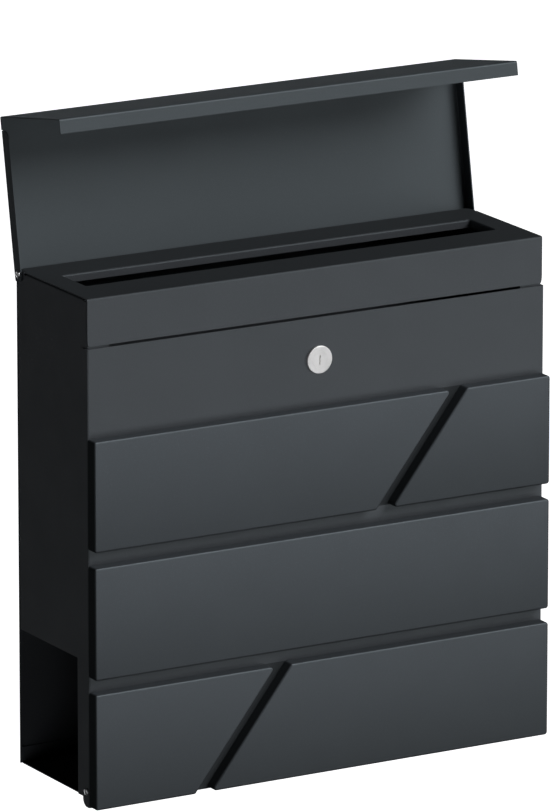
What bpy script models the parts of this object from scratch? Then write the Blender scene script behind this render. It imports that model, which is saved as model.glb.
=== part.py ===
"""Wall mounted mailbox in folded sheet steel.

A lid hinged at the top rear covers a mail slot, a front door hinged at the bottom carries five
raised panels and a cam lock, and an open compartment through both sides holds newspapers.

Frame: +X right, +Y into the wall, +Z up. The origin lies on the back face, at the centre of the
four wall screw holes. Pieces are drawn in body coordinates, where z = 0 is the bottom of the body
and y = 0 the wall, and hang from one empty that lowers them into that frame.
"""

from math import cos, pi, radians, sin, tan

import bmesh
import bpy
from mathutils import Matrix, Vector

MM = 0.001
TINY = 0.001 * MM

# Sheet metal
SHEET = 0.8 * MM
GAP = 0.3 * MM                  # clearance between pieces that touch
BEND = 1.3 * MM                 # outer radius of a fold
BEND_STEPS = 4
CORNER_STEPS = 5
TRAY_CORNER = 2.0 * MM          # a tray's corners, seen from the front
RELIEF = 2.0 * MM               # notch between a flange and the sheet beside it
ROUND_STEPS = 32
SHARP_ANGLE = 35                # degrees between faces that keep their edge

# Body
HALF_WIDTH = 183.0 * MM
HEIGHT = 358.3 * MM
DEPTH = 101.8 * MM              # wall to the front of the band
BAND_HEIGHT = 33.9 * MM
BAND_CORNER = 6.0 * MM
FRONT_FLANGE = 17.3 * MM
SIDE_FLANGE = 10.0 * MM
FLANGE_INSET = 5.0 * MM         # a side panel's rear and top flanges end this far short
TOP_FLANGE_START = 14.0 * MM    # side panel's top flange, from the wall
EAR_END = 11.0 * MM             # side panel's ear for the lid, from the wall
EAR_TOP = 358.1 * MM
EAR_CORNER = 2.0 * MM
BACK_HEIGHT = 350.0 * MM
NOTCH_END = 12.5 * MM           # notch in the top cover beside each ear, from the wall
REAR_FLANGE_HALF = 171.0 * MM   # top cover's rear flange, half its length
REAR_FLANGE_HEIGHT = 20.0 * MM
REAR_FLANGE_DEPTH = 1.4 * MM    # its outer face, from the wall

# Mail slot
SLOT_HALF = 165.0 * MM
SLOT_BACK = 32.8 * MM
SLOT_FRONT = 67.8 * MM
SLOT_RIM = 5.9 * MM
SLOT_CORNER = 1.6 * MM

# Newspaper compartment
PAPER_HEIGHT = 98.4 * MM
PAPER_DEPTH = 84.8 * MM         # opening in the side panels, from the wall
FLOOR_RIM = 12.0 * MM
FLOOR_FRONT = 93.0 * MM         # bottom panel's front rim, from the wall

# Wall screws
SCREW_HOLE = 4.0 * MM
SCREW_X = 140.0 * MM
SCREW_LOW = 130.0 * MM
SCREW_HIGH = 310.0 * MM
MOUNT_HEIGHT = (SCREW_LOW + SCREW_HIGH) / 2

# Outer half width of the lid and the door, whose side flanges run outside the side panels
SHELL_HALF = HALF_WIDTH + GAP + SHEET

# Lid, drawn closed about its pivot and then opened
LID_PIVOT = Vector((0, -5.0 * MM, 355.3 * MM))
LID_OPEN = 100.0                # degrees from closed, as drawn
LID_RISE = 6.7 * MM             # top face above the pivot
LID_REACH = 110.0 * MM          # front face from the pivot
LID_REAR = 2.0 * MM             # rear edge behind the pivot
LID_EAR = 5.0 * MM              # end of the side flange behind the pivot
LID_EAR_CORNER = 3.3 * MM
LID_EAR_TOP_CORNER = 1.0 * MM
LID_FRONT = 86.9 * MM
LID_LIP = 10.3 * MM
LID_SIDE = 10.2 * MM
LID_SIDE_END = 10.0 * MM        # side flange stops this far behind the front face
LID_SIDE_CORNER = 6.0 * MM
LID_SLIT = 0.5 * MM             # between the end of the side flange and the plate's front part
LID_FRONT_HALF = SHELL_HALF - GAP

# Door
DOOR_PIVOT = Vector((0, -99.2 * MM, 5.2 * MM))
DOOR_OPEN = 67.0                # degrees, where its lower edge meets the body
DOOR_FACE = 102.8 * MM
DOOR_TOP = 322.7 * MM
DOOR_BOTTOM = -6.0 * MM
DOOR_SIDE = 9.1 * MM
DOOR_EAR_CORNER = 5.5 * MM
DOOR_TOP_CORNER = 2.0 * MM
NOSE_RADIUS = 2.5 * MM          # side panel round the door pivot
NOSE_TAB = 13.0 * MM            # height of the tab that carries the door's rivet
NOSE_RUN = 20.0 * MM            # reach of the cut under it

# Raised panels: (top, bottom) of each row, and where a diagonal groove parts it
PANEL_FACE = 112.4 * MM
PANEL_ROWS = (
    ("top", 259.1 * MM, 180.0 * MM, 78.8 * MM),
    ("middle", 168.8 * MM, 88.2 * MM, None),
    ("bottom", 77.9 * MM, -5.5 * MM, -65.7 * MM),
)
GROOVE_WIDTH = 10.2 * MM
GROOVE_LEAN = 37.8              # degrees from upright

# Rivets and washers
RIVET_HEAD = 2.6 * MM
RIVET_DOME = 1.1 * MM
RIVET_SHANK = 1.2 * MM
RIVET_TAIL = 1.9 * MM
RIVET_TAIL_LENGTH = 2.2 * MM
RIVET_TAIL_TAPER = 0.5 * MM
RIVET_EDGE = 0.3 * MM
DOME_STEPS = 5

# Cam lock
LOCK_HEIGHT = 292.5 * MM
LOCK_FACE = 10.1 * MM
LOCK_FACE_THICKNESS = 1.5 * MM
LOCK_CHAMFER = 0.5 * MM
BARREL_RADIUS = 9.0 * MM
BARREL_END = 87.4 * MM          # rear end of the barrel, from the wall
PLUG_RADIUS = 6.0 * MM
KEYWAY_WIDTH = 1.3 * MM
KEYWAY_HEIGHT = 7.0 * MM
KEYWAY_DEPTH = 6.0 * MM
LOCK_WASHER_RADIUS = 11.5 * MM
NUT_ACROSS = 22.0 * MM
NUT_THICKNESS = 4.0 * MM
CAM_THICKNESS = 1.5 * MM
CAM_HALF = 8.0 * MM
CAM_REACH = 38.0 * MM
CAM_TIP_CORNER = 3.0 * MM
TANG_HALF = 3.0 * MM
CAM_SCREW_HEAD = 4.2 * MM
CAM_SCREW_SHANK = 1.6 * MM
CAM_SCREW_LENGTH = 8.0 * MM
CAM_SCREW_HEIGHT = 2.2 * MM
CAM_SCREW_CHAMFER = 0.6 * MM
SCREW_SLOT_WIDTH = 1.0 * MM
SCREW_SLOT_DEPTH = 0.9 * MM
SCREW_WASHER = 0.8 * MM
SCREW_WASHER_RADIUS = 4.4 * MM
STOP_WASHER = 0.9 * MM
STOP_RADIUS = 8.2 * MM
STOP_LUG = 9.4 * MM
TANG_SHORT = 0.2 * MM           # tang ends this far inside the cam

# Strike that the cam turns up behind
STRIKE_HALF = 30.0 * MM
STRIKE_TOP = 345.0 * MM
STRIKE_BOTTOM = 326.2 * MM
STRIKE_LEG = 10.0 * MM
STRIKE_BEHIND = 0.8 * MM        # its rear face, behind the end of the lock's barrel

COAT = (0.043, 0.048, 0.052, 1.0)
STEEL = (0.62, 0.62, 0.60, 1.0)
BRIGHT = (0.78, 0.78, 0.77, 1.0)


# ---------------------------------------------------------------- scene set-up

def clear_scene():
    for thing in list(bpy.data.objects):
        bpy.data.objects.remove(thing, do_unlink=True)


def new_collection(name):
    group = bpy.data.collections.new(name)
    bpy.context.scene.collection.children.link(group)
    return group


def new_pivot(name, location, parent=None):
    """Empty on a joint's axis, or the one that carries the whole body."""
    pivot = bpy.data.objects.new(name, None)
    pivot.location = location
    pivot.parent = parent
    PARTS.objects.link(pivot)
    return pivot


def paint(name, colour, metallic, roughness):
    """The piece's own Principled material."""
    material = bpy.data.materials.new(name + "_finish")
    material.use_nodes = True
    shader = material.node_tree.nodes["Principled BSDF"]
    shader.inputs["Base Color"].default_value = colour
    shader.inputs["Metallic"].default_value = metallic
    shader.inputs["Roughness"].default_value = roughness
    return material


FINISHES = {
    "coat": (COAT, 0.0, 0.55),
    "steel": (STEEL, 1.0, 0.35),
    "bright": (BRIGHT, 1.0, 0.22),
}


def add_piece(name, bm, finish, parent):
    """Put a bmesh in the parts collection as one named piece."""
    mesh = bpy.data.meshes.new(name)
    bm.to_mesh(mesh)
    bm.free()
    mesh.materials.append(paint(name, *FINISHES[finish]))
    piece = bpy.data.objects.new(name, mesh)
    piece.parent = parent
    piece.matrix_parent_inverse = Matrix.Translation(-parent.location)
    PARTS.objects.link(piece)
    return piece


def smooth(piece):
    """Shade the round faces smooth and keep the edges between flat faces."""
    piece.data.shade_smooth()
    piece.data.set_sharp_from_angle(angle=radians(SHARP_ANGLE))


def add_cutter(name, bm, parent):
    mesh = bpy.data.meshes.new(name)
    bm.to_mesh(mesh)
    bm.free()
    cutter = bpy.data.objects.new(name, mesh)
    cutter.parent = parent
    cutter.matrix_parent_inverse = Matrix.Translation(-parent.location)
    cutter.hide_render = True
    cutter.display_type = "WIRE"
    CUTTERS.objects.link(cutter)
    return cutter


def cut(piece, cutter):
    boolean = piece.modifiers.new("cut_" + cutter.name, "BOOLEAN")
    boolean.operation = "DIFFERENCE"
    boolean.solver = "EXACT"
    boolean.object = cutter


# ------------------------------------------------------------- shape functions

def frame(origin, across, along, outward):
    """Matrix that takes (across, along, outward) distances to body coordinates."""
    matrix = Matrix((across, along, outward)).transposed().to_4x4()
    matrix.translation = origin
    return matrix


def folded_path(corners, radius=BEND, steps=BEND_STEPS):
    """Points along a polyline, with an arc of the given radius at each corner that turns."""
    corners = [Vector(corner) for corner in corners]
    points = [corners[0]]
    for before, corner, after in zip(corners, corners[1:], corners[2:]):
        back, ahead = (before - corner).normalized(), (after - corner).normalized()
        opening = back.angle(ahead)
        if opening > radians(179):
            points.append(corner)
            continue
        turn = pi - opening
        centre = corner + (back + ahead).normalized() * radius / sin(opening / 2)
        reach = radius / tan(opening / 2)
        start, end = corner + back * reach - centre, corner + ahead * reach - centre
        for step in range(steps + 1):
            part = turn * step / steps
            points.append(centre + (start * sin(turn - part) + end * sin(part)) / sin(turn))
    points.append(corners[-1])
    return points


def sheet_surface(place, across, along, dropped):
    """Open outer surface of a folded sheet.

    across and along are paths of (distance, height) points. Their grid is the sheet, and
    dropped(a, b, fold_a, fold_b) says which of its cells are cut out of the blank, from a cell's
    distances and how far it is folded off the main face along each path.
    """
    bm = bmesh.new()
    columns, rows = len(across) - 1, len(along) - 1
    bmesh.ops.create_grid(bm, x_segments=columns, y_segments=rows, size=1)

    def index(coordinate, count):
        return (coordinate + 1) / 2 * count

    waste = []
    for face in bm.faces:
        centre = face.calc_center_median()
        i, j = int(index(centre.x, columns)), int(index(centre.y, rows))
        cell_a, cell_b = (across[i] + across[i + 1]) / 2, (along[j] + along[j + 1]) / 2
        if dropped(cell_a.x, cell_b.x, cell_a.y < -TINY, cell_b.y < -TINY):
            waste.append(face)
    for vert in bm.verts:
        i, j = round(index(vert.co.x, columns)), round(index(vert.co.y, rows))
        vert.co = place @ Vector((across[i].x, along[j].x, across[i].y + along[j].y))
    bmesh.ops.delete(bm, geom=waste, context="FACES")
    if place.to_3x3().determinant() < 0:
        bmesh.ops.reverse_faces(bm, faces=bm.faces)
    return bm


def edges_where(bm, test):
    """Boundary edges whose two ends both pass the test on their place."""
    return [edge for edge in bm.edges if edge.is_boundary and all(test(v.co) for v in edge.verts)]


def verts_of(geometry):
    return [part for part in geometry if isinstance(part, bmesh.types.BMVert)]


def widen(bm, edges, shift):
    """Grow the sheet from some of its boundary edges."""
    grown = bmesh.ops.extrude_edge_only(bm, edges=edges)["geom"]
    bmesh.ops.translate(bm, vec=shift, verts=verts_of(grown))


def round_corner(bm, corner, radius):
    """Round the sheet's boundary corner nearest to a place."""
    nearest = min((v for v in bm.verts if v.is_boundary), key=lambda v: (v.co - corner).length)
    bmesh.ops.bevel(bm, geom=[nearest], offset=radius, segments=CORNER_STEPS, profile=0.5,
                    affect="VERTICES")


def thicken(piece):
    """Give an open surface its sheet thickness, inward from the outer face."""
    solidify = piece.modifiers.new("sheet", "SOLIDIFY")
    solidify.thickness = SHEET
    solidify.offset = -1
    solidify.use_even_offset = True


def folded_tray(place, outline, rim):
    """Tray: a flat outline with a rim folded back along its whole edge, to a depth of rim.

    Its back face is raised to the start of the outer fold and inset in steps up to the main
    face, and then sunk in the same way from behind.
    """
    first = (Vector(outline[0]) + Vector(outline[-1])) / 2
    edge = folded_path([first, *outline, first], TRAY_CORNER, CORNER_STEPS)[:-1]
    bm = bmesh.new()
    back = bm.faces.new([bm.verts.new((point.x, point.y, -rim)) for point in edge])
    if back.normal.z > 0:
        back.normal_flip()

    def raise_face(face, height):
        grown = bmesh.ops.extrude_face_region(bm, geom=[face, *face.edges])["geom"]
        bmesh.ops.translate(bm, vec=(0, 0, height), verts=verts_of(grown))
        return next(part for part in grown if isinstance(part, bmesh.types.BMFace))

    def fold_over(face, radius):
        angles = [pi / 2 * step / BEND_STEPS for step in range(BEND_STEPS + 1)]
        for start, end in zip(angles, angles[1:]):
            bmesh.ops.inset_region(bm, faces=[face], thickness=radius * (cos(start) - cos(end)),
                                   use_even_offset=True)
            bmesh.ops.translate(bm, vec=(0, 0, radius * (sin(end) - sin(start))), verts=face.verts)

    fold_over(raise_face(back, rim - BEND), BEND)
    bmesh.ops.inset_region(bm, faces=[back], thickness=SHEET, use_even_offset=True)
    fold_over(raise_face(back, rim - BEND), BEND - SHEET)
    bmesh.ops.transform(bm, matrix=place, verts=bm.verts)
    bmesh.ops.recalc_face_normals(bm, faces=bm.faces)
    return bm


def cylinder(place, radius, bottom, top, segments=ROUND_STEPS):
    """Cylinder along the frame's outward axis."""
    bm = bmesh.new()
    centred = Matrix.Translation((0, 0, (bottom + top) / 2))
    bmesh.ops.create_cone(bm, cap_ends=True, segments=segments, radius1=radius, radius2=radius,
                          depth=top - bottom, matrix=place @ centred)
    bmesh.ops.recalc_face_normals(bm, faces=bm.faces)
    return bm


def block(place, half_a, half_b, bottom, top):
    """Box about the frame's outward axis."""
    bm = bmesh.new()
    centred = Matrix.Translation((0, 0, (bottom + top) / 2))
    size = Matrix.Diagonal((2 * half_a, 2 * half_b, top - bottom, 1))
    bmesh.ops.create_cube(bm, size=1, matrix=place @ centred @ size)
    bmesh.ops.recalc_face_normals(bm, faces=bm.faces)
    return bm


def prism(place, outline, bottom, top):
    """Flat outline raised from bottom to top along the frame's outward axis."""
    bm = bmesh.new()
    base = bm.faces.new([bm.verts.new(Vector((a, b, bottom))) for a, b in outline])
    raised = bmesh.ops.extrude_face_region(bm, geom=[base])["geom"]
    bmesh.ops.translate(bm, vec=(0, 0, top - bottom), verts=verts_of(raised))
    bmesh.ops.transform(bm, matrix=place, verts=bm.verts)
    bmesh.ops.recalc_face_normals(bm, faces=bm.faces)
    return bm


def turned(name, place, profile, finish, parent, closed=False):
    """Turned piece about the frame's outward axis, from (radius, height) points, top first."""
    bm = bmesh.new()
    verts = [bm.verts.new((radius, 0, height)) for radius, height in profile]
    for first, second in zip(verts, verts[1:]):
        bm.edges.new((first, second))
    if closed:
        bm.edges.new((verts[-1], verts[0]))
    piece = add_piece(name, bm, finish, parent)
    piece.matrix_basis = place
    screw = piece.modifiers.new("turn", "SCREW")
    screw.steps = ROUND_STEPS
    screw.render_steps = ROUND_STEPS
    screw.use_merge_vertices = True
    screw.merge_threshold = 0.01 * MM
    screw.use_smooth_shade = False
    return piece


def arc(centre_a, centre_b, radius, start, end, steps):
    """Points on an arc, angles in degrees."""
    angles = [radians(start + (end - start) * step / steps) for step in range(steps + 1)]
    return [(centre_a + radius * cos(angle), centre_b + radius * sin(angle)) for angle in angles]


# ------------------------------------------------------------------ body shell

X, Y, Z = Vector((1, 0, 0)), Vector((0, 1, 0)), Vector((0, 0, 1))
SIDES = (("left", -1), ("right", 1))


def back_panel(root):
    place = frame(Vector((0, 0, 0)), X, Z, Y)
    outline = [(-HALF_WIDTH, 0), (HALF_WIDTH, 0), (HALF_WIDTH, BACK_HEIGHT), (-HALF_WIDTH, BACK_HEIGHT)]
    piece = add_piece("back_panel", prism(place, outline, -SHEET, 0), "coat", root)
    for level, height in (("low", SCREW_LOW), ("high", SCREW_HIGH)):
        for name, side in SIDES:
            hole = frame(Vector((side * SCREW_X, 0, height)), X, Z, Y)
            bm = cylinder(hole, SCREW_HOLE, -2 * SHEET, SHEET)
            cut(piece, add_cutter(f"wall_screw_hole_{level}_{name}", bm, root))


def side_panel(root, name, side):
    """Web with inward flanges along the front, the rear and the top."""
    rear, front, top = SHEET + GAP, DEPTH - SHEET - GAP, HEIGHT - SHEET - GAP
    flange_low = NOSE_TAB + RELIEF
    rear_top = BACK_HEIGHT - FLANGE_INSET
    top_end = front - FLANGE_INSET
    across = folded_path([
        (rear, -SIDE_FLANGE), (rear, 0), (EAR_END, 0), (TOP_FLANGE_START, 0), (PAPER_DEPTH, 0),
        (top_end, 0), (front, 0), (front, -FRONT_FLANGE)])
    along = folded_path([
        (0, 0), (NOSE_TAB, 0), (flange_low, 0), (PAPER_HEIGHT, 0), (rear_top, 0), (top, 0),
        (top, -SIDE_FLANGE)])

    def dropped(a, b, fold_a, fold_b):
        if fold_a and fold_b:
            return True
        if fold_b:
            return a < TOP_FLANGE_START or a > top_end
        if fold_a and a > PAPER_DEPTH:
            return b < flange_low
        if fold_a:
            return b < PAPER_HEIGHT or b > rear_top
        return a < PAPER_DEPTH and b < PAPER_HEIGHT

    place = frame(Vector((side * HALF_WIDTH, 0, 0)), -Y, Z, X * side)
    bm = sheet_surface(place, across, along, dropped)

    # ear that carries the lid's rivet, beside a notch in the top cover
    ear_base = top - BEND
    widen(bm, edges_where(bm, lambda p: abs(p.z - ear_base) < TINY and -p.y < EAR_END + TINY),
          Z * (EAR_TOP - ear_base))
    round_corner(bm, Vector((side * HALF_WIDTH, -rear - BEND, HEIGHT)), EAR_CORNER)
    # tab that carries the door's rivet
    tab_base = front - BEND
    widen(bm, edges_where(bm, lambda p: abs(-p.y - tab_base) < TINY and p.z < NOSE_TAB + TINY),
          -Y * (DOOR_FACE - SHEET - 2 * GAP - tab_base))

    piece = add_piece("side_panel_" + name, bm, "coat", root)
    thicken(piece)
    for pivot, label in ((LID_PIVOT, "lid"), (DOOR_PIVOT, "door")):
        hole = frame(pivot + X * side * HALF_WIDTH, Y, Z, X * side)
        bm = cylinder(hole, RIVET_SHANK + GAP, -3 * SHEET, 3 * SHEET)
        cut(piece, add_cutter(f"{label}_rivet_hole_{name}", bm, root))
    cut(piece, add_cutter("nose_cut_" + name, nose_cut(side), root))
    smooth(piece)


def nose_cut(side):
    """Waste in front of and below the door pivot, where the door's lower edge swings through."""
    nose = arc(0, 0, NOSE_RADIUS, 0, DOOR_OPEN, CORNER_STEPS)
    slope = radians(DOOR_OPEN)
    tangent_y, tangent_z = nose[-1]
    outline = nose + [
        (tangent_y - NOSE_RUN * sin(slope), tangent_z + NOSE_RUN * cos(slope)),
        (NOSE_RUN, NOSE_RUN), (NOSE_RUN, 0)]
    place = frame(DOOR_PIVOT + X * side * HALF_WIDTH, -Y, -Z, X * side)
    return prism(place, outline, -3 * SHEET, 3 * SHEET)


def top_cover(root):
    """Top with the slot's turned-down rim, the front band and a rear flange."""
    notch_x = HALF_WIDTH - SHEET - 1.5 * GAP
    across = folded_path([
        (-HALF_WIDTH, 0), (-notch_x, 0), (-REAR_FLANGE_HALF, 0), (-SLOT_HALF, 0), (SLOT_HALF, 0),
        (REAR_FLANGE_HALF, 0), (notch_x, 0), (HALF_WIDTH, 0)])
    along = folded_path([
        (REAR_FLANGE_DEPTH, -REAR_FLANGE_HEIGHT), (REAR_FLANGE_DEPTH, 0), (NOTCH_END, 0),
        (SLOT_BACK, 0), (SLOT_FRONT, 0), (DEPTH, 0), (DEPTH, -BAND_HEIGHT)])

    def dropped(a, b, fold_a, fold_b):
        if b < NOTCH_END:
            return abs(a) > (REAR_FLANGE_HALF if fold_b else notch_x)
        return abs(a) < SLOT_HALF and SLOT_BACK < b < SLOT_FRONT

    place = frame(Vector((0, 0, HEIGHT)), X, -Y, Z)
    bm = sheet_surface(place, across, along, dropped)

    def on_slot(p):
        return (abs(p.x) < SLOT_HALF + TINY and SLOT_BACK - TINY < -p.y < SLOT_FRONT + TINY)

    widen(bm, edges_where(bm, on_slot), -Z * SLOT_RIM)
    inside = [edge for edge in bm.edges if all(on_slot(v.co) for v in edge.verts)]
    upright = [edge for edge in inside if abs(edge.verts[0].co.z - edge.verts[1].co.z) > MM]
    bmesh.ops.bevel(bm, geom=upright, offset=SLOT_CORNER, segments=BEND_STEPS, profile=0.5,
                    affect="EDGES")
    rim = [edge for edge in bm.edges
           if not edge.is_boundary and all(on_slot(v.co) and v.co.z > HEIGHT - TINY for v in edge.verts)]
    bmesh.ops.bevel(bm, geom=rim, offset=BEND, segments=BEND_STEPS - 1, profile=0.5,
                    affect="EDGES")
    for side in (-1, 1):
        round_corner(bm, Vector((side * HALF_WIDTH, -DEPTH, HEIGHT - BAND_HEIGHT)), BAND_CORNER)
    piece = add_piece("top_cover", bm, "coat", root)
    thicken(piece)
    smooth(piece)


def compartment_floor(root):
    """Shelf between the mail compartment and the newspaper compartment, rims up."""
    half = HALF_WIDTH - SHEET - GAP
    rear, front = 2 * (SHEET + GAP), DEPTH - 2 * (SHEET + GAP)
    outline = [(-half, rear), (half, rear), (half, front), (-half, front)]
    place = frame(Vector((0, 0, PAPER_HEIGHT + GAP)), X, -Y, -Z)
    smooth(add_piece("compartment_floor", folded_tray(place, outline, FLOOR_RIM), "coat", root))


def bottom_panel(root):
    """Floor of the newspaper compartment, with a rim up along the front and the rear."""
    half = HALF_WIDTH - SHEET - GAP
    rear = SHEET + GAP
    across = [Vector((-half, 0)), Vector((half, 0))]
    along = folded_path([(rear, -FLOOR_RIM), (rear, 0), (FLOOR_FRONT, 0), (FLOOR_FRONT, -FLOOR_RIM)])
    place = frame(Vector((0, 0, 0)), X, -Y, -Z)
    bm = sheet_surface(place, across, along, lambda a, b, fold_a, fold_b: False)
    piece = add_piece("bottom_panel", bm, "coat", root)
    thicken(piece)
    smooth(piece)


def lock_strike(root):
    """Channel behind the band; the cam turns up behind its rear leg."""
    front = DEPTH - SHEET - GAP
    rear = BARREL_END - STRIKE_BEHIND
    along = folded_path([(STRIKE_BOTTOM + STRIKE_LEG, rear - front),
                         (STRIKE_BOTTOM, rear - front), (STRIKE_BOTTOM, 0), (STRIKE_TOP, 0)])
    across = [Vector((-STRIKE_HALF, 0)), Vector((STRIKE_HALF, 0))]
    place = frame(Vector((0, -front, 0)), X, Z, -Y)
    bm = sheet_surface(place, across, along, lambda a, b, fold_a, fold_b: False)
    piece = add_piece("lock_strike", bm, "steel", root)
    thicken(piece)
    smooth(piece)


# --------------------------------------------------------------- rivets, washers

def rivet(name, pivot, side, parent):
    """Pop rivet through a shell flange and a side panel, head outside."""
    head = GAP
    tail = -2 * (SHEET + GAP)
    end = tail - RIVET_TAIL_LENGTH
    profile = [(0, head + RIVET_DOME)]
    for step in range(1, DOME_STEPS + 1):
        angle = pi / 2 * step / DOME_STEPS
        rise = RIVET_EDGE + (RIVET_DOME - RIVET_EDGE) * cos(angle)
        profile.append((RIVET_HEAD * sin(angle), head + rise))
    profile += [
        (RIVET_HEAD, head), (RIVET_SHANK, head), (RIVET_SHANK, tail), (RIVET_TAIL, tail - GAP),
        (RIVET_TAIL, end + RIVET_TAIL_TAPER), (RIVET_SHANK, end), (0, end)]
    place = frame(pivot + X * side * SHELL_HALF, Y, Z * side, X * side)
    smooth(turned(name, place, profile, "bright", parent))


def washer_ring(name, place, inner, outer, bottom, top, finish, parent):
    profile = [(outer, top), (outer, bottom), (inner, bottom), (inner, top)]
    smooth(turned(name, place, profile, finish, parent, closed=True))


# ------------------------------------------------------------------------- lid

def lid(pivot):
    """Plate, side flanges, deep front flange and inward lip, folded from one sheet."""
    flange_end = LID_REACH - LID_SIDE_END
    across = folded_path([(-SHELL_HALF, -LID_SIDE), (-SHELL_HALF, 0), (SHELL_HALF, 0),
                          (SHELL_HALF, -LID_SIDE)])
    along = folded_path([
        (-LID_EAR, 0), (-LID_REAR, 0), (flange_end, 0), (flange_end + LID_SLIT, 0), (LID_REACH, 0),
        (LID_REACH, -LID_FRONT), (LID_REACH - LID_LIP, -LID_FRONT)])

    def dropped(a, b, fold_a, fold_b):
        flat_flange = abs(a) > SHELL_HALF - TINY
        if b < -LID_REAR:
            return not flat_flange
        return fold_a and (fold_b or b > flange_end)

    place = frame(LID_PIVOT + Z * LID_RISE, X, -Y, Z)
    bm = sheet_surface(place, across, along, dropped)
    tangent = SHELL_HALF - BEND
    low = LID_PIVOT.z + LID_RISE - LID_SIDE
    high = LID_PIVOT.z + LID_RISE - BEND
    rear_y, front_y = LID_PIVOT.y + LID_EAR, LID_PIVOT.y - flange_end
    start = front_y - LID_SLIT

    def before_slit(p):
        return p.y < start + TINY or p.z < low

    for side in (-1, 1):
        edges = edges_where(bm, lambda p: abs(p.x * side - tangent) < TINY and before_slit(p))
        widen(bm, edges, X * side * (LID_FRONT_HALF - tangent))
        flange_x = side * SHELL_HALF
        round_corner(bm, Vector((flange_x, rear_y, low)), LID_EAR_CORNER)
        round_corner(bm, Vector((flange_x, rear_y, high)), LID_EAR_TOP_CORNER)
        round_corner(bm, Vector((flange_x, front_y, low)), LID_SIDE_CORNER)
    piece = add_piece("lid", bm, "coat", pivot)
    thicken(piece)
    for name, side in SIDES:
        hole = frame(LID_PIVOT + X * side * SHELL_HALF, Y, Z, X * side)
        cutter = add_cutter("lid_hole_" + name, cylinder(hole, RIVET_SHANK + GAP, -2 * SHEET, SHEET),
                            pivot)
        cut(piece, cutter)
    smooth(piece)


# ------------------------------------------------------------------------ door

def door_tray(pivot):
    """Flat plate with a flange folded back along each side, outside the side panels."""
    across = folded_path([(-SHELL_HALF, -DOOR_SIDE), (-SHELL_HALF, 0), (SHELL_HALF, 0),
                          (SHELL_HALF, -DOOR_SIDE)])
    along = [Vector((DOOR_BOTTOM, 0)), Vector((DOOR_TOP, 0))]
    place = frame(Vector((0, -DOOR_FACE, 0)), X, Z, -Y)
    bm = sheet_surface(place, across, along, lambda a, b, fold_a, fold_b: False)
    rear_y = DOOR_SIDE - DOOR_FACE
    for side in (-1, 1):
        round_corner(bm, Vector((side * SHELL_HALF, rear_y, DOOR_BOTTOM)), DOOR_EAR_CORNER)
        round_corner(bm, Vector((side * SHELL_HALF, rear_y, DOOR_TOP)), DOOR_TOP_CORNER)
    piece = add_piece("door_tray", bm, "coat", pivot)
    thicken(piece)
    for name, side in SIDES:
        hole = frame(DOOR_PIVOT + X * side * SHELL_HALF, Y, Z, X * side)
        bm = cylinder(hole, RIVET_SHANK + GAP, -2 * SHEET, SHEET)
        cut(piece, add_cutter("door_hole_" + name, bm, pivot))
    lock_hole = frame(Vector((0, -DOOR_FACE, LOCK_HEIGHT)), X, Z, -Y)
    bm = cylinder(lock_hole, BARREL_RADIUS + GAP, -2 * SHEET, SHEET)
    cut(piece, add_cutter("lock_hole", bm, pivot))
    smooth(piece)


def door_panels(pivot):
    """Raised panels, one tray each; a leaning groove parts the top and the bottom row."""
    lean = tan(radians(GROOVE_LEAN))
    half_groove = GROOVE_WIDTH / 2 / cos(radians(GROOVE_LEAN))
    place = frame(Vector((0, -PANEL_FACE, 0)), X, Z, -Y)
    rim = PANEL_FACE - DOOR_FACE - GAP
    for row, top, bottom, groove in PANEL_ROWS:
        if groove is None:
            outlines = {"": [(-SHELL_HALF, bottom), (SHELL_HALF, bottom), (SHELL_HALF, top),
                             (-SHELL_HALF, top)]}
        else:
            offset = (top - bottom) / 2 * lean
            low, high = groove - offset, groove + offset
            outlines = {
                "_left": [(-SHELL_HALF, bottom), (low - half_groove, bottom),
                          (high - half_groove, top), (-SHELL_HALF, top)],
                "_right": [(low + half_groove, bottom), (SHELL_HALF, bottom), (SHELL_HALF, top),
                           (high + half_groove, top)]}
        for suffix, outline in outlines.items():
            bm = folded_tray(place, outline, rim)
            smooth(add_piece(f"door_panel_{row}{suffix}", bm, "coat", pivot))


# ------------------------------------------------------------------------ lock

def lock_frame(depth):
    """Frame on the lock's axis, outward to the front, at a distance from the wall."""
    return frame(Vector((0, -depth, LOCK_HEIGHT)), X, Z, -Y)


def lock_body(door):
    """Housing, washer and nut, fixed to the door."""
    face = LOCK_FACE_THICKNESS + GAP
    bore = PLUG_RADIUS + GAP
    end = BARREL_END - DOOR_FACE
    profile = [
        (bore, face), (LOCK_FACE - LOCK_CHAMFER, face), (LOCK_FACE, face - LOCK_CHAMFER),
        (LOCK_FACE, GAP), (BARREL_RADIUS, GAP), (BARREL_RADIUS, end), (bore, end)]
    smooth(turned("lock_housing", lock_frame(DOOR_FACE), profile, "bright", door, closed=True))

    inside = DOOR_FACE - SHEET - GAP
    washer_ring("lock_washer", lock_frame(inside), BARREL_RADIUS + GAP, LOCK_WASHER_RADIUS, -SHEET,
                0, "steel", door)
    nut_top = -SHEET - GAP
    corner_radius = NUT_ACROSS / 2 / cos(pi / 6)
    bm = cylinder(lock_frame(inside), corner_radius, nut_top - NUT_THICKNESS, nut_top, segments=6)
    nut = add_piece("lock_nut", bm, "steel", door)
    bm = cylinder(lock_frame(inside), BARREL_RADIUS + GAP, nut_top - 2 * NUT_THICKNESS, MM)
    cut(nut, add_cutter("lock_nut_hole", bm, door))


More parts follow.
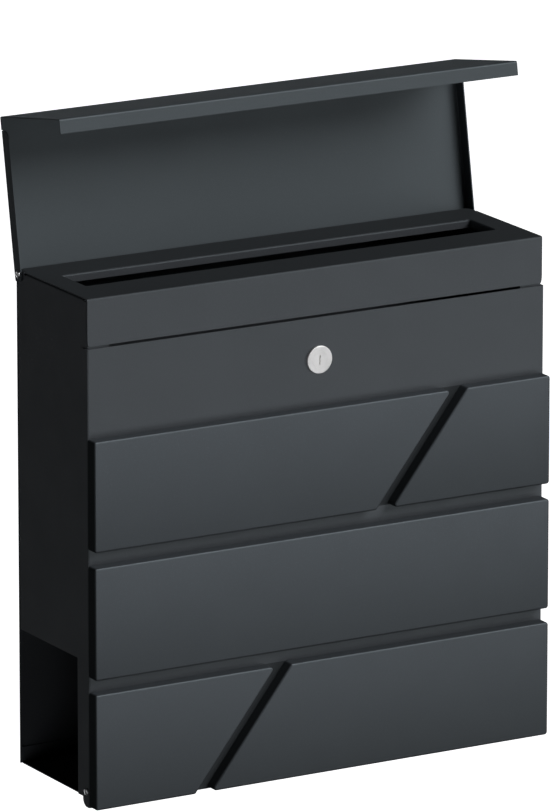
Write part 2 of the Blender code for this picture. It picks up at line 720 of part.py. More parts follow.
def lock_core(core):
    """Plug, stop washer, cam, screw and its washer, which turn together.

    Unlocked, as drawn, the cam lies level and points left.
    """
    place = lock_frame(DOOR_FACE)
    front = LOCK_FACE_THICKNESS + GAP
    stop_front = BARREL_END - DOOR_FACE - GAP
    cam_front = stop_front - STOP_WASHER - GAP
    cam_back = cam_front - CAM_THICKNESS
    tang_end = cam_back + TANG_SHORT

    plug = add_piece("lock_plug", cylinder(place, PLUG_RADIUS, stop_front + GAP, front), "steel", core)
    join = plug.modifiers.new("tang", "BOOLEAN")
    join.operation = "UNION"
    join.solver = "EXACT"
    tang = block(place, TANG_HALF, TANG_HALF, tang_end, stop_front + MM)
    join.object = add_cutter("plug_tang", tang, core)
    keyway = block(place, KEYWAY_WIDTH / 2, KEYWAY_HEIGHT / 2, front - KEYWAY_DEPTH, front + MM)
    cut(plug, add_cutter("keyway", keyway, core))
    thread_end = tang_end + CAM_SCREW_LENGTH
    thread = cylinder(place, CAM_SCREW_SHANK + GAP, tang_end - MM, thread_end)
    cut(plug, add_cutter("plug_thread", thread, core))
    smooth(plug)

    def tang_hole(piece, middle, label):
        hole = block(place, TANG_HALF + GAP, TANG_HALF + GAP, middle - CAM_THICKNESS,
                     middle + CAM_THICKNESS)
        cut(piece, add_cutter(label, hole, core))

    # the stop washer's lug meets the barrel at either end of the turn
    lug = arc(0, 0, STOP_LUG, 225, 315, CORNER_STEPS)
    outline = arc(0, 0, STOP_RADIUS, -45, 225, 3 * CORNER_STEPS) + lug
    bm = prism(place, outline, stop_front - STOP_WASHER, stop_front)
    stop = add_piece("lock_stop_washer", bm, "steel", core)
    tang_hole(stop, stop_front - STOP_WASHER / 2, "stop_washer_hole")

    tip = CAM_REACH - CAM_TIP_CORNER
    corner = CAM_HALF - CAM_TIP_CORNER
    outline = (arc(-tip, corner, CAM_TIP_CORNER, 90, 180, CORNER_STEPS)
               + arc(-tip, -corner, CAM_TIP_CORNER, 180, 270, CORNER_STEPS)
               + arc(0, 0, CAM_HALF, -90, 90, 2 * CORNER_STEPS))
    cam = add_piece("lock_cam", prism(place, outline, cam_back, cam_front), "steel", core)
    tang_hole(cam, cam_front - CAM_THICKNESS / 2, "cam_hole")

    washer_front = cam_back - GAP
    washer_ring("lock_screw_washer", lock_frame(DOOR_FACE), CAM_SCREW_SHANK + GAP,
                SCREW_WASHER_RADIUS, washer_front - SCREW_WASHER, washer_front, "steel", core)

    head_top = washer_front - SCREW_WASHER - GAP
    head_bottom = head_top - CAM_SCREW_HEIGHT
    shank_end = thread_end - MM
    profile = [
        (0, shank_end), (CAM_SCREW_SHANK, shank_end), (CAM_SCREW_SHANK, head_top),
        (CAM_SCREW_HEAD, head_top), (CAM_SCREW_HEAD, head_bottom + CAM_SCREW_CHAMFER),
        (CAM_SCREW_HEAD - CAM_SCREW_CHAMFER, head_bottom), (0, head_bottom)]
    screw = turned("lock_cam_screw", place, profile, "steel", core)
    slot = block(place, SCREW_SLOT_WIDTH / 2, 2 * CAM_SCREW_HEAD, head_bottom - MM,
                 head_bottom + SCREW_SLOT_DEPTH)
    cut(screw, add_cutter("cam_screw_slot", slot, core))
    smooth(screw)


# -------------------------------------------------------------------- assembly

clear_scene()
PARTS = new_collection("wall_mounted_mailbox")
CUTTERS = new_collection("cutters")

body_root = new_pivot("mailbox_body", (0, 0, 0))
back_panel(body_root)
for side_name, side_sign in SIDES:
    side_panel(body_root, side_name, side_sign)
top_cover(body_root)
compartment_floor(body_root)
bottom_panel(body_root)
lock_strike(body_root)
for side_name, side_sign in SIDES:
    rivet("lid_rivet_" + side_name, LID_PIVOT, side_sign, body_root)
    rivet("door_rivet_" + side_name, DOOR_PIVOT, side_sign, body_root)

lid_pivot = new_pivot("lid_pivot", LID_PIVOT, body_root)
lid(lid_pivot)
door_pivot = new_pivot("door_pivot", DOOR_PIVOT, body_root)
door_tray(door_pivot)
door_panels(door_pivot)
lock_body(door_pivot)
lock_pivot = new_pivot("lock_pivot", Vector((0, -DOOR_FACE, LOCK_HEIGHT)), body_root)
lock_core(lock_pivot)

lid_pivot.rotation_euler.x = -radians(LID_OPEN)
body_root.location.z = -MOUNT_HEIGHT
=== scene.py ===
"""Looks of the wall mounted mailbox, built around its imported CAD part.

The folded sheets keep their CAD meshes and get a powder coat. The rivets, the lock's housing, its
plug and the cam's screw are finer pieces that stand for their CAD nodes.
"""

from math import cos, pi, radians, sin, tan

import bmesh
import bpy
from mathutils import Matrix, Vector

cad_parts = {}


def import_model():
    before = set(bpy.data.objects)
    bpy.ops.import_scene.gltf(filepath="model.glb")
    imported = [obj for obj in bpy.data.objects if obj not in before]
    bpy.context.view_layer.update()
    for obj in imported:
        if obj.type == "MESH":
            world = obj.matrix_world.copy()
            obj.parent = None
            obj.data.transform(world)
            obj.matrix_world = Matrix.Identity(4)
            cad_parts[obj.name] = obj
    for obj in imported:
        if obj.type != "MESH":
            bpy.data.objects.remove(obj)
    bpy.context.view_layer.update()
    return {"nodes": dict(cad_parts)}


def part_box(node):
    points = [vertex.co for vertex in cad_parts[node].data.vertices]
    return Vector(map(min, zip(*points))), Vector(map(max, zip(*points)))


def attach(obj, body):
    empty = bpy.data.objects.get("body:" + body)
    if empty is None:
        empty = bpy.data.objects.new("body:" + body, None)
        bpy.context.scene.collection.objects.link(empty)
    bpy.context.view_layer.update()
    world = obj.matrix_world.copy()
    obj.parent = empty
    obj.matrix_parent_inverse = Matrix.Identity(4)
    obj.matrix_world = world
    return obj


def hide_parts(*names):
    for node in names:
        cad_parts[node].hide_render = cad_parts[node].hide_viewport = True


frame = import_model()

NODES = frame["nodes"]
MM = 0.001
SCENE = bpy.context.scene
X, Y, Z = Vector((1, 0, 0)), Vector((0, 1, 0)), Vector((0, 0, 1))

# Camera: three quarter view from the left and above, with a long lens
CAMERA_TARGET = Vector((0.02438, 0.0, 0.01270))
CAMERA_AZIMUTH, CAMERA_ELEVATION = -30.064, 14.713
CAMERA_DISTANCE = 6.3697
CAMERA_LENS, CAMERA_SENSOR = 398.9, 36.0
CAMERA_CLIP = (0.1, 200.0)

# Floor: far below the object, and white through its own glow
FLOOR_Z = -1.2
FLOOR_HALF = 30.0
FLOOR_CELLS = 4
FLOOR_TONE = 0.86
FLOOR_GLOW = 0.85

# Soft lights: azimuth, elevation, strength. All are as wide as SOFTNESS, in degrees.
SOFTNESS = 34
LIGHT_TINT = (0.985, 1.0, 1.03)
LIGHTS = {
    "key": (30, 35, 1.81),
    "key_right": (45, 35, 0.48),
    "low_right": (45, -8, 0.56),
    "bounce_left": (-30, -20, 0.29),
    "bounce_front": (0, -20, 0.09),
    "bounce_right": (60, -20, 0.03),
    "left": (-100, 0, 0.16),
    "behind": (-150, -20, 0.034),
    "backdrop": (150, 18, 0.034),
    "rear": (165, -15, 0.80),
}

# Coated CAD nodes by their material slot
COATED = {
    "powder_coat_body": ("back_panel", "side_panel_left", "side_panel_right", "top_cover",
                         "compartment_floor", "bottom_panel"),
    "powder_coat_lid": ("lid",),
    "powder_coat_door": ("door_tray",),
}
# Each coat: base colour, roughness, and (axis, from, to, darkness) where it darkens as a face
# turns to that axis. That darkening is painted shade: the body's upward faces are painted darker.
COATS = {
    "powder_coat_body": ((0.0464, 0.0484, 0.0530), 0.45, ("Z", 0.2, 0.9, 0.38)),
    # The lid's coat is the same powder coat painted darker and cooler, as painted shade
    "powder_coat_lid": ((0.0398, 0.0450, 0.0494), 0.45),
    "powder_coat_door": ((0.0464, 0.0484, 0.0530), 0.45),
}
# Raised panels' coat. Its shade is painted shade, darker on the panels' walls and rims that turn
# away from the front
PANEL_COAT = ((0.0440, 0.0480, 0.0539), 0.45, ("Y", 0.8, 0.2, 0.75))
# Raised panels: painted shading, from the tone at the lower edge to the tone at the upper edge
PAINTED_PANEL_FADES = {
    "door_panel_top_left": (0.68, 1.27),
    "door_panel_top_right": (0.56, 1.20),
    "door_panel_middle": (0.60, 1.27),
    "door_panel_bottom_left": (0.48, 1.12),
    "door_panel_bottom_right": (0.42, 1.08),
}
# A panel's outer wall: from and to this far from the middle, and the darkness of its painted
# shade there. Its walls in the grooves that face right: normal's X from and to, and the tones of
# painted shade there.
OUTER_WALL_SHADE = (182.6 * MM, 183.4 * MM, 0.18)
GROOVE_WALL_SHADE = (0.2, 0.75, 1.0, 0.5)
PANEL_BULGE = 0.9 * MM

# Slanted grooves between the two panels of a row: lean from upright, the width hidden under each
# panel, and the tones of the painted shade on the tray across a groove
GROOVE_SHADE_ROWS = ("top", "bottom")
GROOVE_LEAN = radians(37.8)
GROOVE_HIDDEN = 3.0 * MM
GROOVE_SHADE_TONES = (0.52, 0.25)

# Powder coat: noise scales per metre, the range of each noise that counts, and tones as factors of
# the base colour
CLOUD_SCALE, PATCH_SCALE, WEAR_SCALE, PEEL_SCALE, GRAIN_SCALE = 9.0, 42.0, 160.0, 420.0, 1500.0
FINE_DETAIL, ROUGH_DETAIL, ROUGH_NOISE = 3.0, 4.0, 0.6
CLOUD_RANGE, CLOUD_TONES = (0.32, 0.68), (0.95, 1.05)
GRAIN_RANGE, GRAIN_TONE = (0.52, 0.8), 1.25
WEAR_RANGE = (0.42, 0.66)
COAT_EDGE = 0.35 * MM
WORN_SHARE, WORN_TONE, WORN_POLISH = 0.5, 1.5, 0.10
PATCH_RANGE, PATCH_ROUGHNESS = (0.35, 0.7), (-0.025, 0.03)
PEEL_DEPTH, GRAIN_DEPTH, COAT_RELIEF = 0.04 * MM, 0.02 * MM, 0.5
COAT_SHEEN = (0.87, 1.0, 1.03, 1.0)
# Rougher by DULLER where a face is level or darkened. A face is level or turned to the front from
# these values of its normal's Z and Y.
DULLER = 0.4
LEVEL_FACE = (0.85, 0.97)
FRONT_FACE = -0.5

# Metals: colour and roughness
CHROME = ((0.835, 0.82, 0.80), 0.44)
ALUMINIUM = ((0.96, 0.96, 0.96), 0.33)
ZINC = ((0.55, 0.56, 0.55), 0.34)
STRIKE_ZINC = ((0.50, 0.51, 0.51), 0.40)
SCREW_ZINC = ((0.55, 0.56, 0.55), 0.30)
METAL_CLOUD_SCALE, SCRATCH_SCALE, METAL_RANGE = 90.0, 900.0, (0.3, 0.7)
METAL_EDGE = 0.25 * MM
DULL_TONE, BRIGHT_TONE, BRIGHT_SHARE = 0.86, 1.10, 0.6
CLOUD_ROUGHNESS, SCRATCH_ROUGHNESS = 0.06, 0.04
SCRATCH_DEPTH, SCRATCH_RELIEF = 0.01 * MM, 0.6

# Edges are found by how far the rounded normal turns from the flat one
EDGE_SAMPLES = 6
EDGE_LIKENESS = (0.98, 0.75)

# Mesh
SHARP_ANGLE = radians(32)
TURN_STEPS = 72
ROUND_STEPS = 6
ON_AXIS = 0.001 * MM
EDGE_ROUND, EDGE_SEGMENTS = 0.12 * MM, 3

# Pop rivets, with the side they face: a domed head round the sunk mandrel, and a clenched tail
RIVETS = {"lid_rivet_left": -1, "lid_rivet_right": 1, "door_rivet_left": -1, "door_rivet_right": 1}
RIVET_STEPS, RIVET_CROWN_STEPS = 48, 10
RIVET_DOME, RIVET_DOME_EDGE = 1.1 * MM, 0.3 * MM
RIVET_SHANK = 1.2 * MM
RIVET_TAIL, RIVET_BULGE = 1.9 * MM, 0.1 * MM
RIVET_CLENCH, RIVET_CLENCH_EDGE, RIVET_TAIL_EDGE = 2.2 * MM, 0.3 * MM, 0.5 * MM
MANDREL_HOLE, MANDREL_FLOOR = 0.75 * MM, 0.5625 * MM
MANDREL_DEPTH, MANDREL_LIP = 0.35 * MM, 0.168 * MM
MANDREL_ROLL, MANDREL_ROLL_DROP = 0.05 * MM, 0.02 * MM

# Lock
LOCK_PARTS = ("lock_washer", "lock_nut", "lock_stop_washer", "lock_cam", "lock_screw_washer")
LOCK_STEPS = 96
LOCK_FACE_THICKNESS = 1.5 * MM
RIM_ROUND = 0.7 * MM
BORE, BORE_GAP = 6.0 * MM, 0.04 * MM
BARREL = 9.0 * MM
THREAD_START, THREAD_END = 6.0 * MM, 1.2 * MM
THREAD_PITCH, THREAD_DEPTH = 1.0 * MM, 0.3 * MM
PLUG_ROUND = 0.06 * MM
TANG_HALF = 3.0 * MM
# Keyway down to its dust shutter: each step's middle across and up, its width and height, in mm
KEYWAY = ((0.10, 2.3, 1.0, 2.4), (-0.15, 0.1, 0.7, 2.4), (0.10, -1.0, 0.95, 1.4),
          (-0.05, -2.5, 0.75, 2.0))
KEYWAY_DEPTH = 1.2 * MM
CAM_THREAD, CAM_THREAD_PITCH, CAM_THREAD_LENGTH = 1.9 * MM, 0.7 * MM, 8.0 * MM
CAM_SCREW_HEAD, CAM_SCREW_ROUND = 2.2 * MM, 0.9 * MM
SCREW_SLOT, SCREW_SLOT_DEPTH = 1.0 * MM, 0.9 * MM


def direction(azimuth, elevation):
    """Unit vector from the object; azimuth 0 is the front and 90 the right side."""
    a, e = radians(azimuth), radians(elevation)
    return Vector((sin(a) * cos(e), -cos(a) * cos(e), sin(e)))


# ------------------------------------------------------------------- materials

class Nodes:
    """Short way to wire a material.

    at and facing are the object's own place and normal, so a coat keeps its tones at any pose.
    """

    def __init__(self, name):
        self.material = bpy.data.materials.new(name)
        self.material.use_nodes = True
        self.tree = self.material.node_tree
        self.shader = self.tree.nodes["Principled BSDF"]
        self.place = self.add("ShaderNodeTexCoord").outputs["Object"]
        self.flat = self.add("ShaderNodeNewGeometry").outputs["Normal"]
        own = self.add("ShaderNodeVectorTransform", ("Vector", self.flat), vector_type="NORMAL",
                       convert_from="WORLD", convert_to="OBJECT").outputs["Vector"]
        self.facing = self.add("ShaderNodeSeparateXYZ", ("Vector", own)).outputs
        self.at = self.add("ShaderNodeSeparateXYZ", ("Vector", self.place)).outputs

    def add(self, kind, *links, **values):
        """New node. links are (socket, source output or number); values are its properties."""
        node = self.tree.nodes.new(kind)
        for name, value in values.items():
            setattr(node, name, value)
        for socket, source in links:
            self.feed(node, socket, source)
        return node

    def feed(self, node, socket, source):
        if isinstance(source, bpy.types.NodeSocket):
            self.tree.links.new(source, node.inputs[socket])
        else:
            node.inputs[socket].default_value = source

    def noise(self, scale, detail=2.0, roughness=0.5):
        return self.add("ShaderNodeTexNoise", ("Vector", self.place), ("Scale", scale),
                        ("Detail", detail), ("Roughness", roughness)).outputs["Fac"]

    def remap(self, value, low, high, to_low=0.0, to_high=1.0):
        node = self.add("ShaderNodeMapRange", ("Value", value), ("From Min", low),
                        ("From Max", high), ("To Min", to_low), ("To Max", to_high))
        return node.outputs["Result"]

    # A Mix node has its numbers at sockets 2 and 3 and its colours at 6 and 7

    def mix(self, factor, first, second):
        return self.add("ShaderNodeMix", (0, factor), (2, first), (3, second)).outputs[0]

    def blend(self, factor, first, second):
        return self.add("ShaderNodeMix", (0, factor), (6, first), (7, second),
                        data_type="RGBA").outputs[2]

    def scaled(self, colour, factor):
        return self.add("ShaderNodeVectorMath", (0, colour), ("Scale", factor),
                        operation="SCALE").outputs["Vector"]

    def maths(self, operation, first, second=0.0):
        return self.add("ShaderNodeMath", (0, first), (1, second), operation=operation).outputs[0]

    def edges(self, radius):
        """1 along edges, 0 on flat faces."""
        rounded_off = self.add("ShaderNodeBevel", ("Radius", radius), samples=EDGE_SAMPLES)
        likeness = self.add("ShaderNodeVectorMath", (0, rounded_off.outputs["Normal"]),
                            (1, self.flat), operation="DOT_PRODUCT").outputs["Value"]
        return self.remap(likeness, *EDGE_LIKENESS)

    def bump(self, height, distance, strength=1.0, below=None):
        """Normal with the height on it, over the normal from another bump if there is one."""
        node = self.add("ShaderNodeBump", ("Height", height), ("Distance", distance),
                        ("Strength", strength))
        if below is not None:
            self.feed(node, "Normal", below)
        return node.outputs["Normal"]

    def set(self, socket, value):
        self.feed(self.shader, socket, value)


def groove_shade_mask(m, row):
    """Groove of a row on the tray's front: 1 in it and 0 elsewhere, and the tone of the painted
    shade across it.
    """
    (_, left), (right, _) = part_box(f"door_panel_{row}_left"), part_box(f"door_panel_{row}_right")
    low, high = right.z, left.z
    slope = tan(GROOVE_LEAN)
    half = (slope * (high - low) - (left.x - right.x)) / 2
    middle = (left.x + right.x) / 2
    run = m.maths("MULTIPLY", m.maths("SUBTRACT", m.at["Z"], (low + high) / 2), slope)
    across = m.maths("SUBTRACT", m.maths("SUBTRACT", m.at["X"], middle), run)
    inside = m.maths("MULTIPLY", m.maths("GREATER_THAN", m.at["Z"], low),
                     m.maths("LESS_THAN", m.at["Z"], high))
    near = m.maths("LESS_THAN", m.maths("ABSOLUTE", across), half + GROOVE_HIDDEN)
    front = m.maths("LESS_THAN", m.facing["Y"], FRONT_FACE)
    inside = m.maths("MULTIPLY", m.maths("MULTIPLY", inside, near), front)
    return inside, m.remap(across, -half, half, *GROOVE_SHADE_TONES)


def powder_coat(name, tint, roughness, shade=None, fade=None, rows=()):
    """Matt anthracite powder coat: fine grain, faint clouding, thin along the edges.

    shade is (axis, from, to, darkness): painted shade, the coat is darker where the face's normal
    turns to the axis. fade is a raised panel's (lowest z, highest z, tone there, tone there):
    painted shading, darker towards its lower edge; it also paints shade on its walls and gives its
    face a slight bulge. rows are the door's rows with a groove, whose floor gets painted shade.
    """
    m = Nodes(name)
    cloud = m.noise(CLOUD_SCALE, FINE_DETAIL)
    patch = m.noise(PATCH_SCALE)
    grain = m.noise(GRAIN_SCALE)
    peel = m.noise(PEEL_SCALE)

    def tone_of(factor):
        return tuple(factor * c for c in tint) + (1,)

    tone = m.blend(m.remap(cloud, *CLOUD_RANGE), *map(tone_of, CLOUD_TONES))
    tone = m.blend(m.remap(grain, *GRAIN_RANGE), tone, tone_of(GRAIN_TONE))
    broken = m.remap(m.noise(WEAR_SCALE, FINE_DETAIL, ROUGH_NOISE), *WEAR_RANGE)
    worn = m.maths("MULTIPLY", m.edges(COAT_EDGE), broken)
    tone = m.blend(m.maths("MULTIPLY", worn, WORN_SHARE), tone, tone_of(WORN_TONE))
    normal = None
    dull = m.remap(m.maths("ABSOLUTE", m.facing["Z"]), *LEVEL_FACE, 0.0, DULLER)
    if fade:
        low, high, tone_low, tone_high = fade
        # Painted shading: the panel's face is darker towards its lower edge
        tone = m.scaled(tone, m.remap(m.at["Z"], low, high, tone_low, tone_high))
        side = m.maths("ABSOLUTE", m.at["X"])
        # Painted shade on the panel's outer walls
        start, end, darkness = OUTER_WALL_SHADE
        tone = m.scaled(tone, m.remap(side, start, end, 1.0, darkness))
        dull = m.maths("MAXIMUM", dull, m.remap(side, start, end, 0.0, DULLER))
        # Painted shade on the panel's walls that face right, such as those in the grooves
        tone = m.scaled(tone, m.remap(m.facing["X"], *GROOVE_WALL_SHADE))
        middle, half = (low + high) / 2, (high - low) / 2
        across = m.maths("DIVIDE", m.maths("SUBTRACT", m.at["Z"], middle), half)
        bulge = m.maths("MULTIPLY", m.maths("MULTIPLY", across, across), -PANEL_BULGE)
        normal = m.bump(bulge, 1.0)
    if shade:
        axis, start, end, darkness = shade
        turn = m.facing[axis]
        if axis != "Z":
            turn = m.maths("ABSOLUTE", turn)
        # Painted shade: darker where the face's normal turns to the axis
        tone = m.scaled(tone, m.remap(turn, start, end, 1.0, darkness))
        dull = m.maths("MAXIMUM", dull, m.remap(turn, start, end, 0.0, DULLER))
    for row in rows:
        inside, darkness = groove_shade_mask(m, row)
        # Painted shade on the tray's floor in the grooves
        tone = m.scaled(tone, m.mix(inside, 1.0, darkness))
        dull = m.maths("MAXIMUM", dull, m.maths("MULTIPLY", inside, DULLER))
    m.set("Base Color", tone)
    m.set("Specular Tint", COAT_SHEEN)
    patchy = m.remap(patch, *PATCH_RANGE, *[roughness + change for change in PATCH_ROUGHNESS])
    m.set("Roughness", m.maths("SUBTRACT", m.maths("ADD", patchy, dull),
                               m.maths("MULTIPLY", worn, WORN_POLISH)))
    normal = m.bump(peel, PEEL_DEPTH, COAT_RELIEF, normal)
    m.set("Normal", m.bump(grain, GRAIN_DEPTH, COAT_RELIEF, normal))
    return m.material


def metal(name, colour, roughness):
    """Bare or plated metal with clouding, fine scratches and polished edges."""
    m = Nodes(name)
    cloud = m.noise(METAL_CLOUD_SCALE, FINE_DETAIL)
    scratch = m.noise(SCRATCH_SCALE, ROUGH_DETAIL, ROUGH_NOISE)
    dull = tuple(DULL_TONE * c for c in colour) + (1,)
    bright = tuple(min(1.0, BRIGHT_TONE * c) for c in colour) + (1,)
    tone = m.blend(m.remap(cloud, *METAL_RANGE), colour + (1,), dull)
    worn = m.maths("MULTIPLY", m.edges(METAL_EDGE), BRIGHT_SHARE)
    m.set("Base Color", m.blend(worn, tone, bright))
    m.set("Metallic", 1.0)
    base = m.remap(cloud, *METAL_RANGE, roughness, roughness + CLOUD_ROUGHNESS)
    fine = m.remap(scratch, *METAL_RANGE, -SCRATCH_ROUGHNESS, SCRATCH_ROUGHNESS)
    m.set("Roughness", m.maths("ADD", base, fine))
    m.set("Normal", m.bump(scratch, SCRATCH_DEPTH, SCRATCH_RELIEF))
    return m.material


def give(obj, material):
    """The object's only material."""
    mesh = obj.data
    mesh.materials.clear()
    mesh.materials.append(material)


def finish_nodes():
    """Materials of the CAD nodes that stay visible."""
    for slot, names in COATED.items():
        coat = powder_coat(slot, *COATS[slot], rows=GROOVE_SHADE_ROWS if slot == "powder_coat_door" else ())
        for name in names:
            give(NODES[name], coat)
    for name, tones in PAINTED_PANEL_FADES.items():
        low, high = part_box(name)
        fade = (low.z, high.z, *tones)
        give(NODES[name], powder_coat(name + "_coat", *PANEL_COAT, fade))
    zinc = metal("zinc_steel", *ZINC)
    for name in LOCK_PARTS:
        give(NODES[name], zinc)
    give(NODES["lock_strike"], metal("strike_zinc", *STRIKE_ZINC))


# --------------------------------------------------------------- finer pieces

def new_piece(name, bm, place, material, slot, body, *nodes):
    """Piece that rides a body and stands for CAD nodes. place is its matrix."""
    bmesh.ops.transform(bm, matrix=place, verts=bm.verts)
    bmesh.ops.recalc_face_normals(bm, faces=bm.faces)
    piece = solid(name, bm)
    piece.data.shade_smooth()
    piece.data.set_sharp_from_angle(angle=SHARP_ANGLE)
    piece.modifiers.new("flat_faces", "WEIGHTED_NORMAL").keep_sharp = True
    give(piece, material)
    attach(piece, body)
    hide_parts(*nodes)
    return piece


def solid(name, bm):
    """Object made of a bmesh, which is used up."""
    mesh = bpy.data.meshes.new(name)
    bm.to_mesh(mesh)
    bm.free()
    thing = bpy.data.objects.new(name, mesh)
    SCENE.collection.objects.link(thing)
    return thing


def lathe(profile, steps=TURN_STEPS, closed=False):
    """Turned solid about local Z from (radius, height) points; radius 0 closes it on the axis."""
    bm = bmesh.new()
    rings = []
    for radius, height in profile:
        if radius < ON_AXIS:
            rings.append([bm.verts.new((0, 0, height))])
        else:
            rings.append([bm.verts.new((radius * cos(2 * pi * i / steps),
                                        radius * sin(2 * pi * i / steps), height))
                          for i in range(steps)])
    pairs = list(zip(rings, rings[1:]))
    if closed:
        pairs.append((rings[-1], rings[0]))
    for one, two in pairs:
        for i in range(steps):
            j = (i + 1) % steps
            corners = [one[i % len(one)], one[j % len(one)], two[j % len(two)], two[i % len(two)]]
            bm.faces.new(list(dict.fromkeys(corners)))
    return bm


def rounded(points, radii):
    """Profile with arcs in place of its corners; radii maps a point's number to its radius."""
    out = []
    for number, point in enumerate(points):
        radius = radii.get(number)
        if radius is None:
            out.append(point)
            continue
        corner = Vector(point)
        back = (Vector(points[number - 1]) - corner).normalized()
        ahead = (Vector(points[number + 1]) - corner).normalized()
        start, end = corner + back * radius, corner + ahead * radius
        for step in range(ROUND_STEPS + 1):
            t = step / ROUND_STEPS
            bend = start * (1 - t) ** 2 + corner * 2 * t * (1 - t) + end * t ** 2
            out.append((bend.x, bend.y))
    return out


def thread(points, radius, height, end, pitch, crest):
    """Adds a thread to a profile, from height down to end, and returns the height after it.

    crest says whether it starts on a crest.
    """
    while height > end:
        points.append((radius if crest else radius - THREAD_DEPTH, height))
        height -= pitch / 2
        crest = not crest
    return height


def place_at(centre, outward):
    """Matrix that puts local Z along outward at the centre."""
    across = Z.cross(outward).normalized()
    matrix = Matrix((across, outward.cross(across), outward)).transposed().to_4x4()
    matrix.translation = centre
    return matrix


def carved(base, *steps):
    """bmesh of a base solid after boolean steps of (operation, tool); the solids are removed."""
    for bm in (base, *[tool for _, tool in steps]):
        bmesh.ops.recalc_face_normals(bm, faces=bm.faces)
    blank = solid("blank", base)
    tools = []
    for operation, tool in steps:
        step = blank.modifiers.new("step", "BOOLEAN")
        step.operation = operation
        step.solver = "EXACT"
        step.object = solid("tool", tool)
        tools.append(step.object)
    shape = blank.evaluated_get(bpy.context.evaluated_depsgraph_get()).to_mesh()
    bm = bmesh.new()
    bm.from_mesh(shape)
    for thing in [blank, *tools]:
        bpy.data.objects.remove(thing, do_unlink=True)
    return bm


def box(centre, half):
    """Block whose edges are slightly rounded."""
    bm = bmesh.new()
    matrix = Matrix.Translation(centre) @ Matrix.Diagonal((*[2 * h for h in half], 1))
    bmesh.ops.create_cube(bm, size=1, matrix=matrix)
    bmesh.ops.bevel(bm, geom=bm.edges[:], offset=EDGE_ROUND, segments=EDGE_SEGMENTS, profile=0.5,
                    affect="EDGES")
    return bm


def rivet(name, side, material):
    """Pop rivet: domed head with the broken mandrel sunk in its middle, and its clenched tail."""
    low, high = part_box(name)
    middle = (low + high) / 2
    top = high.x if side > 0 else -low.x
    bottom = low.x if side > 0 else -high.x
    head = (high.z - low.z) / 2
    length = top - bottom
    under = length - RIVET_DOME
    points = [(0, length - MANDREL_DEPTH), (MANDREL_FLOOR, length - MANDREL_DEPTH),
              (MANDREL_HOLE, length - MANDREL_LIP),
              (MANDREL_HOLE + MANDREL_ROLL, length - MANDREL_ROLL_DROP)]
    for step in range(1, RIVET_CROWN_STEPS + 1):
        angle = pi / 2 * step / RIVET_CROWN_STEPS
        rise = RIVET_DOME_EDGE + (RIVET_DOME - RIVET_DOME_EDGE) * cos(angle)
        points.append((MANDREL_HOLE + (head - MANDREL_HOLE) * sin(angle), under + rise))
    points += [(head, under), (RIVET_SHANK, under), (RIVET_SHANK, RIVET_CLENCH),
               (RIVET_TAIL, RIVET_CLENCH - RIVET_CLENCH_EDGE),
               (RIVET_TAIL + RIVET_BULGE, RIVET_CLENCH / 2), (RIVET_TAIL, RIVET_TAIL_EDGE),
               (RIVET_SHANK, 0), (0, 0)]
    place = place_at(Vector((bottom * side, middle.y, middle.z)), X * side)
    new_piece(name + "_domed", lathe(points, RIVET_STEPS), place, material, "rivet_aluminium",
              "body", name)


def lock_axis():
    """Matrix that puts local Z on the lock's axis, towards the front."""
    low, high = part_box("lock_housing")
    return place_at(Vector(((low.x + high.x) / 2, 0, (low.z + high.z) / 2)), -Y)


def lock_housing(material):
    """Housing with a rounded face, a threaded barrel and a bore that the plug fills.

    It throws no shadow, as in the photo.
    """
    low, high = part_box("lock_housing")
    rim, front, rear = (high.x - low.x) / 2, -low.y, -high.y
    seat = front - LOCK_FACE_THICKNESS
    points = [(BORE, rear), (BORE, front), (rim, front), (rim, seat), (BARREL, seat)]
    height = thread(points, BARREL, seat - THREAD_START, rear + THREAD_END, THREAD_PITCH, True)
    points += [(BARREL, height), (BARREL, rear)]
    shape = lathe(rounded(points, {2: RIM_ROUND}), LOCK_STEPS, closed=True)
    piece = new_piece("lock_housing_turned", shape, lock_axis(), material, "lock_chrome", "door",
                      "lock_housing")
    piece.visible_shadow = False


def lock_plug(material):
    """Plug with a rounded front edge and a keyway; its square tang carries the cam."""
    low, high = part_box("lock_plug")
    front, tang_end = -low.y, -high.y
    shoulder = -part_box("lock_housing")[1].y
    radius = BORE - BORE_GAP
    plug = lathe(rounded([(0, shoulder), (radius, shoulder), (radius, front), (0, front)],
                         {2: PLUG_ROUND}), LOCK_STEPS)
    tang_half = (shoulder + MM - tang_end) / 2
    tang = box(Vector((0, 0, tang_end + tang_half)), (TANG_HALF, TANG_HALF, tang_half))
    keyway = [box(Vector((x * MM, y * MM, front)), (w * MM / 2, h * MM / 2, KEYWAY_DEPTH))
              for x, y, w, h in KEYWAY]
    hole = lathe([(0, tang_end - MM), (CAM_THREAD, tang_end - MM),
                  (CAM_THREAD, tang_end + CAM_THREAD_LENGTH), (0, tang_end + CAM_THREAD_LENGTH)])
    shape = carved(plug, ("UNION", tang), *[("DIFFERENCE", step) for step in keyway],
                   ("DIFFERENCE", hole))
    new_piece("lock_plug_turned", shape, lock_axis(), material, "lock_steel", "lock_core",
              "lock_plug")


def cam_screw(material):
    """Slotted pan head screw that holds the cam on its tang."""
    low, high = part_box("lock_cam_screw")
    head, bottom, top = (high.x - low.x) / 2, -high.y, -low.y
    under = bottom + CAM_SCREW_HEAD
    shank = CAM_THREAD - BORE_GAP
    points = [(0, top), (shank, top)]
    thread(points, shank, top - THREAD_PITCH / 2, under + MM, CAM_THREAD_PITCH, False)
    points += [(shank - THREAD_DEPTH, under), (head, under), (head, bottom), (0, bottom)]
    screw = lathe(rounded(points, {len(points) - 2: CAM_SCREW_ROUND}))
    slot = box(Vector((0, 0, bottom)), (SCREW_SLOT / 2, 2 * head, SCREW_SLOT_DEPTH))
    new_piece("lock_cam_screw_turned", carved(screw, ("DIFFERENCE", slot)), lock_axis(), material,
              "zinc_steel", "lock_core", "lock_cam_screw")


# ------------------------------------------------------------------ the studio

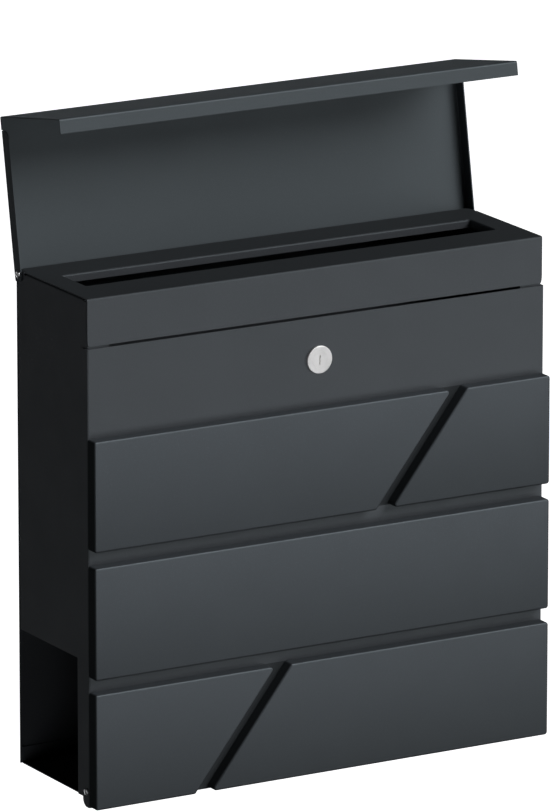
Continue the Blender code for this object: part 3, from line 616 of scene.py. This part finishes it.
def floor():
    """White floor, clear from below, that throws no light on the object."""
    bm = bmesh.new()
    bmesh.ops.create_grid(bm, x_segments=FLOOR_CELLS, y_segments=FLOOR_CELLS, size=FLOOR_HALF,
                          matrix=Matrix.Translation((0, 0, FLOOR_Z)))
    m = Nodes("studio_floor")
    m.set("Base Color", (FLOOR_TONE, FLOOR_TONE, FLOOR_TONE, 1))
    m.set("Roughness", 1.0)
    m.set("Specular IOR Level", 0.0)
    m.set("Emission Color", (1, 1, 1, 1))
    m.set("Emission Strength", FLOOR_GLOW)
    behind = m.add("ShaderNodeNewGeometry").outputs["Backfacing"]
    m.set("Alpha", m.maths("SUBTRACT", 1.0, behind))
    plane = solid("studio_floor", bm)
    plane.data.materials.append(m.material)
    plane.visible_diffuse = False
    plane.visible_glossy = False
    plane.visible_shadow = False


def world():
    """White behind the object, which throws no light on it."""
    backdrop = bpy.data.worlds.new("studio")
    backdrop.use_nodes = True
    tree = backdrop.node_tree
    background = tree.nodes["Background"]
    background.inputs["Color"].default_value = (1, 1, 1, 1)
    path = tree.nodes.new("ShaderNodeLightPath")
    tree.links.new(path.outputs["Is Camera Ray"], background.inputs["Strength"])
    SCENE.world = backdrop


def sun(name, azimuth, elevation, strength):
    light = bpy.data.lights.new(name, "SUN")
    light.energy = strength
    light.angle = radians(SOFTNESS)
    light.color = LIGHT_TINT
    lamp = bpy.data.objects.new(name, light)
    lamp.rotation_mode = "QUATERNION"
    lamp.rotation_quaternion = direction(azimuth, elevation).to_track_quat("Z", "Y")
    SCENE.collection.objects.link(lamp)


def camera():
    view = bpy.data.cameras.new("camera")
    view.lens = CAMERA_LENS
    view.sensor_width = CAMERA_SENSOR
    view.clip_start, view.clip_end = CAMERA_CLIP
    eye = bpy.data.objects.new("camera", view)
    back = direction(CAMERA_AZIMUTH, CAMERA_ELEVATION)
    eye.location = CAMERA_TARGET + back * CAMERA_DISTANCE
    eye.rotation_mode = "QUATERNION"
    eye.rotation_quaternion = (-back).to_track_quat("-Z", "Y")
    SCENE.collection.objects.link(eye)
    SCENE.camera = eye


finish_nodes()
aluminium = metal("rivet_aluminium", *ALUMINIUM)
for rivet_name, rivet_side in RIVETS.items():
    rivet(rivet_name, rivet_side, aluminium)
lock_housing(metal("lock_chrome", *CHROME))
lock_plug(metal("plug_chrome", *CHROME))
cam_screw(metal("screw_zinc", *SCREW_ZINC))

floor()
world()
for light_name, light_place in LIGHTS.items():
    sun(light_name, *light_place)
camera()
SCENE.view_settings.view_transform = "Standard"
